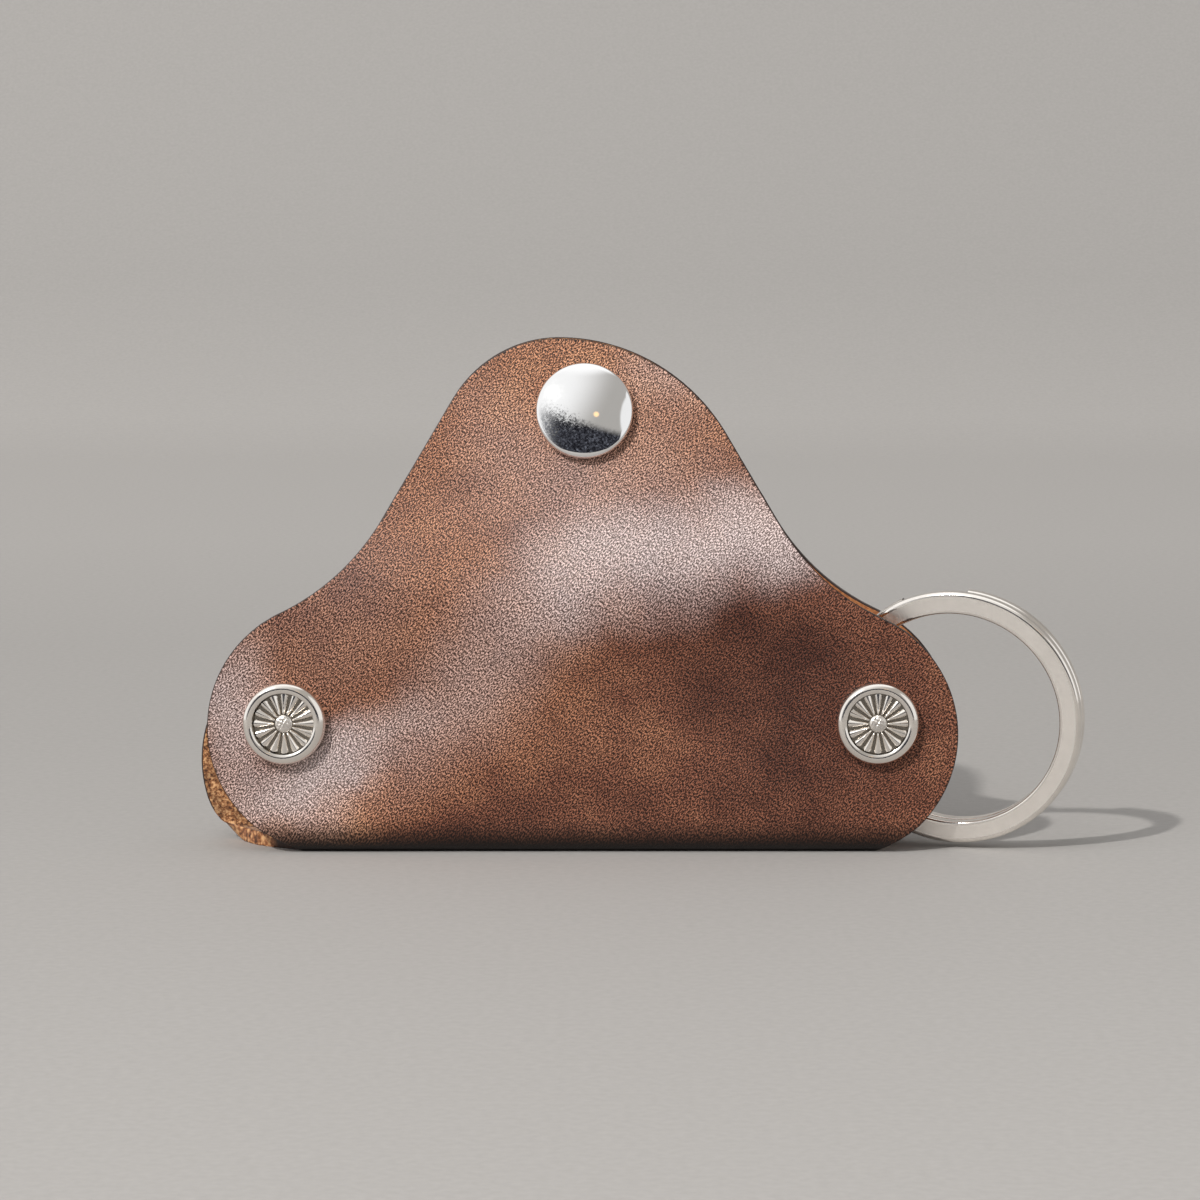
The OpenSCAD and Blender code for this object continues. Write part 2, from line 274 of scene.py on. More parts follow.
# %% Floor
SWEEP_FRONT = -0.22
SWEEP_BACK = 0.7
SWEEP_RADIUS = 0.5
SWEEP_HALF = 1.6
SWEEP_HEIGHT = 0.9
SWEEP_STEPS = 16
deselect_all()
bpy.ops.mesh.primitive_plane_add(size=1)
floor = name_piece("floor")
bpy.ops.object.mode_set(mode="EDIT")
sheet = bmesh.from_edit_mesh(floor.data)
for vertex in sheet.verts:
    vertex.co.x = math.copysign(SWEEP_HALF, vertex.co.x)
    vertex.co.y = SWEEP_BACK if vertex.co.y > 0 else SWEEP_FRONT
bmesh.update_edit_mesh(floor.data)
select_parts("EDGE", lambda edge: all(vertex.co.y > 0 for vertex in edge.verts))
for step in range(SWEEP_STEPS):
    low = math.pi / 2 * step / SWEEP_STEPS
    high = math.pi / 2 * (step + 1) / SWEEP_STEPS
    rise = SWEEP_RADIUS * (math.cos(low) - math.cos(high))
    run = SWEEP_RADIUS * (math.sin(high) - math.sin(low))
    bpy.ops.mesh.extrude_region_move(TRANSFORM_OT_translate={"value": (0, run, rise)})
bpy.ops.mesh.extrude_region_move(TRANSFORM_OT_translate={"value": (0, 0, SWEEP_HEIGHT)})
bpy.ops.object.mode_set(mode="OBJECT")
smooth(floor, 60)
paper, tree, shader = blank_material("pale_paper")
place = put(tree, "ShaderNodeTexCoord").outputs["Object"]
fibre = noise(tree, place, 900, 3)["Fac"]
tone = ramp(tree, fibre, [(0.3, colour(174, 171, 168)), (0.7, colour(180, 177, 174))])
# Light and shade are painted on the paper by depth: a little paler in front and where it starts to
# curve up.
depth = put(tree, "ShaderNodeSeparateXYZ", {"Vector": place}).outputs["Y"]
share = put(tree, "ShaderNodeMapRange", {"Value": depth, "From Min": -0.25, "From Max": 1.15})
painted_floor_light = ramp(tree, share.outputs["Result"], [
    (0.0, grey(1.12)), (0.14, grey(1.01)), (0.25, grey(0.94)), (0.34, grey(0.94)),
    (0.49, grey(1.06)), (0.74, grey(1.13)), (0.83, grey(0.98)), (1.0, grey(0.955))])
tone = mixed(tree, 1.0, tone, painted_floor_light, "MULTIPLY")
feed(tree, shader, {"Base Color": tone, "Roughness": 0.7, "Specular IOR Level": 0.2})
floor.data.materials.append(paper)
print("floor reaches", SWEEP_BACK + SWEEP_RADIUS, "m behind the object")

# %% [markdown]
# The ring's shadow falls to the right and to the back, so the main lamp stands at the upper left in
# front, 38.5 degrees high. It is small, so the shadow is crisp. A wide, weak box at the left and
# another above fill the shadows, and all stand far away, so that the floor is lit evenly.
# Polished metal shows the room: a white wall at the left, a white ceiling, a white card at the
# right, and a dark room with one warm bulb behind the camera. Only mirrored rays see them.

# %% Lamps
def lamp(name, direction, distance, size, power, tint=(1, 1, 1)):
    """An area lamp that shines at the object from the direction given."""
    middle = Vector((0, 0, 30 * MM))
    turn = direction.to_track_quat("Z", "Y").to_euler()
    deselect_all()
    bpy.ops.object.light_add(type="AREA", location=middle + direction * distance, rotation=turn)
    made = bpy.context.object
    made.name = name
    made.data.shape = "DISK"
    made.data.size = size
    made.data.energy = power
    made.data.color = tint
    return made


def towards(azimuth, elevation):
    """A direction in degrees: 0 is the front, and the azimuth grows to the right."""
    a, e = math.radians(azimuth), math.radians(elevation)
    return Vector((math.sin(a) * math.cos(e), -math.cos(a) * math.cos(e), math.sin(e)))


lamp("key_lamp", towards(-34, 38.5), 4.0, 0.13, 98, (1, 0.98, 0.95))
left_box = lamp("left_box", towards(-42, 30), 3.0, 2.2, 16)
top_box = lamp("top_box", towards(-24, 59), 3.0, 1.6, 16)
left_box.visible_glossy = False
top_box.visible_glossy = False


# %% The room that polished metal mirrors
def slide(tree, value, low, high):
    """0 below low, 1 above high and a smooth slide between them. It falls if low is above high."""
    inputs = {"Value": value, "From Min": low, "From Max": high}
    made = put(tree, "ShaderNodeMapRange", inputs, interpolation_type="SMOOTHSTEP")
    return made.outputs["Result"]


def sky_spot(tree, direction, at, near, far):
    """1 within near degrees of a direction, fading to 0 at far degrees."""
    dot = put(tree, "ShaderNodeVectorMath", {0: direction, 1: tuple(at)}, operation="DOT_PRODUCT")
    return slide(tree, dot.outputs["Value"], math.cos(math.radians(far)),
                 math.cos(math.radians(near)))


world = bpy.data.worlds.new("studio")
bpy.context.scene.world = world
world.use_nodes = True
tree = world.node_tree
direction = put(tree, "ShaderNodeTexCoord").outputs["Generated"]
parts = put(tree, "ShaderNodeSeparateXYZ", {"Vector": direction}).outputs
speckle = noise(tree, direction, 34, 5, 0.85)["Fac"]
# The dark room's upper edge slopes down to the right and is ragged, mostly at its left end.
ROOM_SLOPE = 0.31
RAGGED = 1.1
wobble = calc(tree, "MULTIPLY", calc(tree, "SUBTRACT", speckle, 0.5), RAGGED)
left_share = slide(tree, parts["X"], 0.25, -0.3)
wobble = calc(tree, "MULTIPLY", wobble, calc(tree, "ADD", left_share, 0.1))
sloping = calc(tree, "ADD", parts["Z"], calc(tree, "MULTIPLY", parts["X"], ROOM_SLOPE))
upper_edge = slide(tree, calc(tree, "ADD", sloping, wobble), 0.3, 0.17)
left_edge = slide(tree, calc(tree, "ADD", parts["X"], wobble), -0.76, -0.42)
dark_room = calc(tree, "MULTIPLY", upper_edge, left_edge)
dark_room = calc(tree, "MULTIPLY", dark_room, slide(tree, parts["Y"], -0.2, -0.5))
room_shade = ramp(tree, speckle, [(0.4, colour(16, 16, 20)), (0.52, colour(40, 40, 46)),
                                  (0.64, colour(134, 138, 150))])
plain = colour(176, 173, 169)
# Each bright thing has a direction and the angles from it where it is full and where it ends.
WALL = (towards(-75, 35), 38, 80)
CEILING = (towards(0, 88), 24, 34)
CARD = (towards(60, 11), 27, 29)
BULB = (towards(10.5, 21.3), 0.9, 2.8)
mirrored = mixed(tree, sky_spot(tree, direction, *WALL), plain, grey(1.0))
mirrored = mixed(tree, sky_spot(tree, direction, *CEILING), mirrored, grey(1.1))
mirrored = mixed(tree, dark_room, mirrored, room_shade)
mirrored = mixed(tree, sky_spot(tree, direction, *CARD), mirrored, grey(0.9))
mirrored = mixed(tree, sky_spot(tree, direction, *BULB), mirrored, (1.5, 1.0, 0.55, 1))
rays = put(tree, "ShaderNodeLightPath")
behind = calc(tree, "MAXIMUM", rays.outputs["Is Camera Ray"], rays.outputs["Is Transmission Ray"])
shade = mixed(tree, rays.outputs["Is Glossy Ray"], grey(0.4), mirrored)
shade = mixed(tree, behind, shade, plain)
feed(tree, tree.nodes["Background"], {"Color": shade, "Strength": 1.0})
bpy.context.scene.view_settings.view_transform = "Standard"
print("world nodes:", len(tree.nodes))

# %% [markdown]
# ## The leather
#
# The real sheet is cut flat, with two bell-shaped ends, and folded. It could be modelled by folding
# a flat mesh with a simulation, but the measured model already knows the side profile, so each row
# of a grid is simply carried along that profile, and the row's ends follow the cut outline. The
# profile is a walk in the (Y, Z) plane: straight runs and bends, each with its length and its lean,
# which is the angle from upright towards the back. The leather's stiffness rounds the bends a
# little, so the leans of the panels are smoothed before they are walked.

# %% Walk the side profile
LEATHER = 1.8
FOLD_R = 1.9
FOOT = 3.55
WALL_START = 2.8
WALL_TOP = 30.0
FRONT_BEND_R = 22
BACK_BEND_R = 20
FRONT_LEAN = 22
BACK_LEAN = -4
LOBE_LEAN = 15
FIRM_RUN = 6
WALK = 0.05
SOFTEN = 3.0


def walk(turns, side):
    """Follows (length, lean, next lean) from the seam under the fold. side is -1 for the front."""
    leans = []
    for length, lean, next_lean in turns:
        count = max(1, round(length / WALK))
        leans.append(lean + (next_lean - lean) * (np.arange(count) + 0.5) / count)
    leans = np.radians(np.concatenate(leans))
    # The fold and the run above it stay as they are.
    keep = round((FOOT + FOLD_R * math.pi / 2 + FIRM_RUN) / WALK)
    reach = round(SOFTEN / WALK)
    window = np.hanning(2 * reach + 3)[1:-1]
    wide = np.concatenate([leans[keep:keep + 1].repeat(reach), leans[keep:],
                           leans[-1:].repeat(reach)])
    leans[keep:] = np.convolve(wide, window / window.sum(), mode="valid")
    y = np.concatenate([[0], np.cumsum(np.sin(leans)) * WALK])
    z = np.concatenate([[0], np.cumsum(np.cos(leans)) * WALK]) + LEATHER / 2
    leans = np.concatenate([leans[:1], leans])
    along = np.arange(len(y)) * WALK
    print("the walk ends at y", round(y[-1], 2), "z", round(z[-1], 2))
    return {"along": along, "y": y, "z": z, "lean": leans, "side": side}


def bend(radius, lean, next_lean):
    """A step of the walk that turns from one lean to the next on the radius given."""
    return radius * math.radians(abs(next_lean - lean)), lean, next_lean


corner_run = FOLD_R * math.pi / 2
front_turns = [
    (FOOT, -90, -90), (corner_run, -90, 0), (WALL_TOP + 0.05 - WALL_START, 0, 0),
    bend(FRONT_BEND_R, 0, FRONT_LEAN), (6, FRONT_LEAN, FRONT_LEAN),
    bend(FRONT_BEND_R, FRONT_LEAN, LOBE_LEAN), (21, LOBE_LEAN, LOBE_LEAN),
]
back_turns = [
    (FOOT, 90, 90), (corner_run, 90, 0), (WALL_TOP - WALL_START, 0, 0),
    bend(BACK_BEND_R, 0, BACK_LEAN), (12.08, BACK_LEAN, BACK_LEAN),
    bend(BACK_BEND_R, BACK_LEAN, LOBE_LEAN), (17, LOBE_LEAN, LOBE_LEAN),
]
front_walk = walk(front_turns, -1)
back_walk = walk(back_turns, 1)

# %% [markdown]
# The outline is made of arcs, as a maker would draw it with a compass: on each side a round lobe, a
# hollow neck and a round shoulder. The lobe leans to the left, so its left arc is the tighter one.
# The real sheet was folded a little askew, so the front panel's left shoulder lies a little higher,
# and the back panel's lies lower and further out. That is why a crescent of the suede inside shows
# at the lower left.

# %% Draw the outline
POST_X = 37.7
POST_Z = 16.9
PANEL_H = 65.4
PEAK_SHIFT = 3.1
LOBE_LEFT_R = 16.0
LOBE_RIGHT_R = 25.2
NECK_R = 30.3
FLANK = math.radians(30.6)
SHOULDER_R = 16.4
RIGHT_CORNER = np.array([31.5, 15.2])
FRONT_CORNER = RIGHT_CORNER + (0, 0.9)
BACK_CORNER = RIGHT_CORNER + (1.8, -4.7)
ARC_POINTS = 160


def half_outline(peak_x, lobe_r, shoulder):
    """Points (x, z) of the right half, from the peak at peak_x down to the shoulder's end."""
    lobe = np.array([peak_x, PANEL_H - lobe_r])
    out = np.array([math.cos(FLANK), math.sin(FLANK)])
    far = lobe_r + NECK_R + out @ (lobe - shoulder)
    reach = NECK_R + SHOULDER_R
    neck = shoulder + far * out + math.sqrt(reach**2 - far**2) * np.array([-out[1], out[0]])
    meet = math.atan2(neck[1] - shoulder[1], neck[0] - shoulder[0])
    arcs = [
        (lobe, lobe_r, math.pi / 2, FLANK),
        (neck, NECK_R, math.pi + FLANK, math.pi + meet),
        (shoulder, SHOULDER_R, meet, -math.pi / 2),
    ]
    points = []
    for centre, radius, start, end in arcs:
        for angle in np.linspace(start, end, ARC_POINTS):
            points.append(centre + radius * np.array([math.cos(angle), math.sin(angle)]))
    return np.array(points)


right_half = half_outline(-PEAK_SHIFT, LOBE_RIGHT_R, RIGHT_CORNER)[::-1]
left_front = half_outline(PEAK_SHIFT, LOBE_LEFT_R, FRONT_CORNER)[::-1] * (-1, 1)
left_back = half_outline(PEAK_SHIFT, LOBE_LEFT_R, BACK_CORNER)[::-1] * (-1, 1)
print("front outline:", round(right_half[:, 0].max() - left_front[:, 0].min(), 2), "mm wide")


def limits(z, askew):
    """Left and right ends of the outline at height z. askew is 0 at the front, 1 at the back."""
    corner = FRONT_CORNER + askew * (BACK_CORNER - FRONT_CORNER)
    if 0 < askew < 1:
        left = -corner[0] - math.sqrt(SHOULDER_R**2 - (z - corner[1]) ** 2)
    else:
        half = left_back if askew == 1 else left_front
        left = np.interp(z, half[:, 1], half[:, 0])
    return left, np.interp(z, right_half[:, 1], right_half[:, 0])


# %% [markdown]
# Each panel's flat pattern is the outline carried onto the walk: how far left and right the leather
# reaches at each point along it. The left shoulder moves to its askew place round the fold, so the
# fold's left end runs slantwise under the case. The pattern is drawn in by the width of the rim,
# which is added afterwards as a band of its own, so that the cut edge can be rounded evenly.

# %% Make the flat pattern of a panel
RIM = 0.26
BEVEL = 0.18
SKEW_RUN = {-1: 5.5, 1: 9.5}
PATTERN_POINTS = 1500


def pattern(path):
    """Left and right ends of the drawn-in pattern as functions of the distance along the walk."""
    side = path["side"]
    # The outline is met by the outer face round the fold and by the higher face above it.
    tilt = np.sin(path["lean"])
    wall = path["along"] > FOOT + corner_run
    outer_z = path["z"] + np.where(wall, np.abs(tilt), -side * tilt) * LEATHER / 2
    top = np.interp(PANEL_H, outer_z[wall], path["along"][wall])
    along = top - top * np.linspace(1, 0, PATTERN_POINTS) ** 2
    heights = np.interp(along, path["along"], outer_z)
    askew = np.clip(0.5 + side * along / (2 * SKEW_RUN[side]), 0, 1)
    askew = 3 * askew**2 - 2 * askew**3
    ends = np.array([limits(z, share) for z, share in zip(heights, askew)])
    curve = np.concatenate([
        np.column_stack([ends[:, 0], along]), np.column_stack([ends[::-1, 1], along[::-1]])
    ])
    curve = curve[np.concatenate([[True], np.hypot(*np.diff(curve, axis=0).T) > 1e-6])]
    slope = np.gradient(curve, axis=0)
    slope /= np.hypot(slope[:, 0], slope[:, 1])[:, None]
    inner = curve + RIM * np.column_stack([slope[:, 1], -slope[:, 0]])
    peak = inner[:, 1].argmax()
    left, right = inner[:peak + 1], inner[peak:][::-1]
    return {"left": left, "right": right, "top": inner[peak, 1], "curve": curve}


front_pattern = pattern(front_walk)
back_pattern = pattern(back_walk)
print("front panel's pattern is", round(front_pattern["top"], 2), "mm long from the seam")

# %% [markdown]
# The grid's rows are closer together round the fold and at the top of the lobe, where the pattern
# changes fastest. Soft swells that the hand leaves in real leather are added along the surface's
# own normal. They fade out under the post heads and at the press stud, where the hardware pulls the
# leather flat.

# %% Swell of the front panel
SNAP_X = 0.2
SNAP_ALONG = 60.4
POST_ALONG = 20.6
HELD_R = 7
# Each swell has a height, a place on the pattern, a radius along each axis, and a turn.
SWELLS = [
    (0.50, (-27, 7), (15, 6), 0.45), (-0.35, (-24, 19), (14, 6), 0.5),
    (0.45, (6, 35), (20, 6), 0.3), (-0.35, (23, 26), (13, 8), 0.2),
    (0.30, (25, 11), (16, 6), -0.1), (-0.30, (-14, 46), (9, 11), 0.3),
    (-0.25, (20, 49), (9, 8), -0.4), (0.25, (-40, 28), (8, 6), 0.8),
    (0.20, (-4, 15), (12, 5), 0.1),
]


def bump(x, along, at, size, turn=0.0):
    """A smooth hill that is 1 at its centre, with a radius along each of its two turned axes."""
    dx, dy = x - at[0], along - at[1]
    u = dx * math.cos(turn) + dy * math.sin(turn)
    v = dy * math.cos(turn) - dx * math.sin(turn)
    return np.exp(-(u / size[0]) ** 2 - (v / size[1]) ** 2)


def swell(x, along):
    """How far the front panel stands proud of its plain profile, in millimetres."""
    height = sum(much * bump(x, along, at, size, turn) for much, at, size, turn in SWELLS)
    for at in ((-POST_X, POST_ALONG), (POST_X, POST_ALONG), (SNAP_X, SNAP_ALONG)):
        height = height * (1 - bump(x, along, at, (HELD_R, HELD_R)))
    clear = np.clip((along - 3.5) / 5, 0, 1)
    return height * clear**2 * (3 - 2 * clear)


# %% Build a panel
COLUMNS = 96
FOLD_ROWS = 16
PANEL_ROWS = 62
TOP_ROWS = 14
TOP_RUN = 5.0
UV_SPAN = 100.0


def panel(name, path, cut, swelling):
    side = path["side"]
    fold_end = FOOT + corner_run
    rows = np.concatenate([
        np.linspace(0, fold_end, FOLD_ROWS, endpoint=False),
        np.linspace(fold_end, cut["top"] - TOP_RUN, PANEL_ROWS, endpoint=False),
        cut["top"] - TOP_RUN * np.linspace(1, 0.03, TOP_ROWS) ** 2,
    ])
    deselect_all()
    bpy.ops.mesh.primitive_grid_add(
        x_subdivisions=COLUMNS, y_subdivisions=len(rows) - 1, size=1, calc_uvs=True)
    piece = name_piece(name)
    flat = piece.data
    spots = np.array([vertex.co[:] for vertex in flat.vertices])
    row = np.rint((spots[:, 1] + 0.5) * (len(rows) - 1)).astype(int)
    along = rows[row]
    left = np.interp(along, cut["left"][:, 1], cut["left"][:, 0])
    right = np.interp(along, cut["right"][:, 1], cut["right"][:, 0])
    x = left + (right - left) * (spots[:, 0] + 0.5)
    y = np.interp(along, path["along"], path["y"])
    z = np.interp(along, path["along"], path["z"])
    lean = np.interp(along, path["along"], path["lean"])
    proud = swelling(x, along) if swelling else 0 * x
    y = y + side * np.cos(lean) * proud
    z = z - side * np.sin(lean) * proud
    for vertex, px, py, pz in zip(flat.vertices, x, y, z):
        vertex.co = Vector((px, py, pz)) * MM
    for loop in flat.loops:
        spot = loop.vertex_index
        flat.uv_layers[0].data[loop.index].uv = (
            x[spot] / UV_SPAN + 0.5, -side * along[spot] / UV_SPAN + 0.5)
    flat.uv_layers[0].name = "pattern"
    flat.update()
    facing = flat.polygons[len(flat.polygons) // 2].normal.y * side
    make_active(piece)
    if facing < 0:
        bpy.ops.object.mode_set(mode="EDIT")
        bpy.ops.mesh.select_all(action="SELECT")
        bpy.ops.mesh.flip_normals()
        bpy.ops.object.mode_set(mode="OBJECT")
    return piece


def thicken(piece, materials):
    """Gives the panel its thickness, pushes the cut edge out to the outline and rounds it."""
    for material in materials:
        piece.data.materials.append(material)
    make_active(piece)
    solid = piece.modifiers.new("thickness", "SOLIDIFY")
    solid.thickness = LEATHER * MM
    solid.offset = 0
    solid.use_even_offset = True
    solid.material_offset = 1
    solid.material_offset_rim = 2
    apply_modifiers(piece)
    bpy.ops.object.mode_set(mode="EDIT")
    seam = 0.001 * MM
    select_parts("FACE", lambda face: face.material_index == 2
                 and any(abs(vertex.co.y) > seam for vertex in face.verts))
    bpy.ops.mesh.extrude_region_shrink_fatten(
        TRANSFORM_OT_shrink_fatten={"value": RIM * MM, "use_even_offset": True})
    mesh = bmesh.from_edit_mesh(piece.data)
    edge_faces = {face.index for face in mesh.faces if face.select}
    # The rim's ends are put back on the seam under the fold, where the two panels meet.
    for vertex in mesh.verts:
        if abs(vertex.co.y) < 0.25 * MM and vertex.co.z < 2 * LEATHER * MM:
            vertex.co.y = 0
    mesh.normal_update()
    bmesh.update_edit_mesh(piece.data)

    def is_corner(edge):
        faces = edge.link_faces
        at_seam = all(abs(vertex.co.y) < seam for vertex in edge.verts)
        return not at_seam and len(faces) == 2 \
            and (faces[0].index in edge_faces) != (faces[1].index in edge_faces)
    corners = select_parts("EDGE", is_corner)
    bpy.ops.mesh.bevel(offset=BEVEL * MM, segments=3, material=2, clamp_overlap=True)
    finish_mesh()
    print(piece.name, "rounded", corners, "corner edges")
    smooth(piece, 50)


# %% [markdown]
# ### Leather finishes
#
# The grain side is waxed, with a soft gloss and fine specks that are partly its own tone and partly
# painted glints and pit shade. Its brown is partly the leather's own uneven tone and partly painted
# light and shade, and a pale sheen is painted over it in soft bands. The flesh side is tan suede,
# and the cut edge is burnished almost black. The grain follows the flat pattern, which each panel
# carries as its UV map, so it bends with the leather.

# %% Painted light, shade and sheen on the leather, over its own uneven tone
# Each patch has a strength, a place on the pattern, two radii, and a turn in degrees.
# The tone patches are partly the leather's own uneven tone and partly painted light and shade:
# lighter on the lobe and at the left, darker at the right and low in the middle.
TONE_AND_PAINTED_SHADE = [
    (0.22, (2, 64), (32, 22), 0), (0.10, (-22, 45), (22, 24), 40),
    (0.02, (-34, 31), (22, 14), 20), (0.06, (-14, 23), (20, 12), 20),
    (0.24, (-31, 8), (17, 6), 8), (-0.34, (25, 28), (30, 22), -15),
    (-0.18, (27, 11), (34, 14), 0), (-0.10, (3, 11), (26, 10), 0),
    (-0.14, (-30, 38), (14, 6), 35), (0.10, (14, 16), (14, 8), 15),
    (-0.22, (-16, 7), (20, 6), 0),
]
# Painted sheen: pale soft bands that stand for the gloss catching the lamps.
PAINTED_SHEENS = [
    (0.60, (11, 42.5), (30, 11), 12), (0.32, (25, 46.5), (15, 10), 12),
    (0.26, (-8, 33), (26, 11), 40), (0.22, (1, 51), (26, 13), 0),
    (0.74, (-34.5, 14), (21, 7.5), 31), (0.18, (-20, 19), (22, 9), 30),
    (0.55, (-45, 21), (7, 16), -8), (0.22, (11, 65), (10, 8), -30),
    (0.08, (-12, 59), (10, 9), 60), (0.07, (-30, 36), (24, 16), 35),
]


def soft_patch(tree, flat, at, size, turn):
    """1 at a place on the pattern, fading to 0 on an ellipse round it."""
    inputs = {"Vector": flat, "Location": (*at, 0), "Rotation": (0, 0, math.radians(turn)),
              "Scale": (*size, 1)}
    spot = put(tree, "ShaderNodeMapping", inputs, vector_type="TEXTURE").outputs["Vector"]
    fade = put(tree, "ShaderNodeTexGradient", {"Vector": spot}, gradient_type="SPHERICAL")
    return slide(tree, fade.outputs["Fac"], 0, 1)


def layered(tree, flat, start, patches):
    total = start
    for much, at, size, turn in patches:
        share = calc(tree, "MULTIPLY", soft_patch(tree, flat, at, size, turn), much)
        total = calc(tree, "ADD", total, share)
    return total


print("patches on the leather:", len(TONE_AND_PAINTED_SHADE), "tones and", len(PAINTED_SHEENS), "painted_sheens")

# %% Grain side
GRAIN_TURN = math.radians(50)
GRAIN_STRETCH = 1.7
CELLS_PER_MM = 5.4
SPECKS_PER_MM = 6.4
GRAIN_DEPTH = 0.06
DRIFT = 9.0
# Where the painted shade on the fold is full and where it ends, along the pattern in millimetres.
FOLD_SHADE_FULL = 4.8
FOLD_SHADE_END = 8.6


def leather_grain():
    material, tree, shader = blank_material("waxed_grain")
    pattern_map = put(tree, "ShaderNodeUVMap", uv_map="pattern").outputs["UV"]
    flat = put(tree, "ShaderNodeMapping", {"Vector": pattern_map, "Scale": (UV_SPAN,) * 3,
                                           "Location": (-UV_SPAN / 2, -UV_SPAN / 2, 0)},
               vector_type="POINT").outputs["Vector"]
    slanted = put(tree, "ShaderNodeMapping",
                  {"Vector": flat, "Rotation": (0, 0, GRAIN_TURN), "Scale": (GRAIN_STRETCH, 1, 1)},
                  vector_type="TEXTURE").outputs["Vector"]
    cells = put(tree, "ShaderNodeTexVoronoi", {"Vector": slanted, "Scale": CELLS_PER_MM},
                feature="SMOOTH_F1").outputs["Distance"]
    fine = noise(tree, slanted, SPECKS_PER_MM, 1)["Fac"]
    height = calc(tree, "ADD", calc(tree, "MULTIPLY", cells, -0.5), fine)
    # The soft patches are pulled about by a slow noise, so that no ellipse can be seen.
    slow = noise(tree, flat, 0.09, 3)["Color"]
    shift = put(tree, "ShaderNodeVectorMath", {0: slow, 1: (0.5, 0.5, 0.5)},
                operation="SUBTRACT").outputs["Vector"]
    drifted = put(tree, "ShaderNodeVectorMath", {0: shift, 1: (DRIFT, DRIFT, 0.0), 2: flat},
                  operation="MULTIPLY_ADD").outputs["Vector"]
    blotch = noise(tree, flat, 0.16, 4, 0.6)["Fac"]
    start = calc(tree, "ADD", calc(tree, "MULTIPLY", blotch, 0.5), 0.12)
    # The brown: the leather's own tone with painted light and shade.
    depth = layered(tree, drifted, start, TONE_AND_PAINTED_SHADE)
    tone = ramp(tree, depth, [(0.0, colour(63, 33, 23)), (0.25, colour(96, 58, 42)),
                              (0.5, colour(130, 87, 63)), (0.8, colour(163, 119, 88))])
    # A pale painted sheen is laid over the brown, where the roughness is also a little lower.
    painted_sheen = layered(tree, drifted, 0.0, PAINTED_SHEENS)
    painted_sheen_share = calc(tree, "MULTIPLY", painted_sheen, 0.8)
    tone = mixed(tree, painted_sheen_share, tone, colour(206, 192, 189))
    # Painted glints on the grain's tops and painted shade in its pits, over its own fine tone;
    # the specks are weaker where the sheen is painted.
    strong = ramp(tree, fine, [(0.39, (0.10, 0.07, 0.06)), (0.5, (0.80, 0.78, 0.77)),
                               (0.61, (3.1, 3.3, 3.5))])
    weak = ramp(tree, fine, [(0.38, (0.34, 0.31, 0.30)), (0.5, (0.86, 0.86, 0.86)),
                             (0.62, (1.95, 2.0, 2.05))])
    speck_tone_and_glint = mixed(tree, painted_sheen, strong, weak)
    tinted = mixed(tree, 1.0, tone, speck_tone_and_glint, "MULTIPLY")
    # Shade is painted on the fold, where the leather turns under towards the floor.
    along = put(tree, "ShaderNodeSeparateXYZ", {"Vector": flat}).outputs["Y"]
    clear = slide(tree, calc(tree, "ABSOLUTE", along, 0.0), FOLD_SHADE_FULL, FOLD_SHADE_END)
    tinted = mixed(tree, clear, colour(22, 13, 9), tinted)
    rough = calc(tree, "SUBTRACT", 0.46, calc(tree, "MULTIPLY", painted_sheen, 0.12))
    feed(tree, shader, {"Base Color": tinted, "Roughness": rough, "Specular IOR Level": 0.32,
                        "Normal": lifted(tree, height, GRAIN_DEPTH)})
    return material


grain_finish = leather_grain()
print("grain finish:", grain_finish.name)


# %% Suede side and burnished edge
def leather_suede():
    material, tree, shader = blank_material("tan_suede")
    place = put(tree, "ShaderNodeTexCoord").outputs["Object"]
    nap = noise(tree, place, 2000, 3, 0.75)["Fac"]
    blotch = noise(tree, place, 620, 3)["Fac"]
    tan = ramp(tree, nap, [(0.38, colour(74, 44, 26)), (0.5, colour(164, 109, 68)),
                           (0.62, colour(226, 178, 128))])
    shade = ramp(tree, blotch, [(0.35, grey(0.6)), (0.65, grey(1.1))])
    tan = mixed(tree, 1.0, tan, shade, "MULTIPLY")
    # Light is painted on the suede towards the right shoulder: lighter and more orange, with a
    # smoother nap.
    painted_lit_nap = ramp(tree, nap, [(0.35, colour(150, 88, 50)), (0.65, colour(206, 140, 88))])
    across = put(tree, "ShaderNodeSeparateXYZ", {"Vector": place}).outputs["X"]
    tan = mixed(tree, slide(tree, across, 16 * MM, 26 * MM), tan, painted_lit_nap)
    feed(tree, shader, {"Base Color": tan, "Roughness": 0.95, "Sheen Weight": 0.3,
                        "Sheen Roughness": 0.5, "Normal": lifted(tree, nap, 0.15)})
    return material


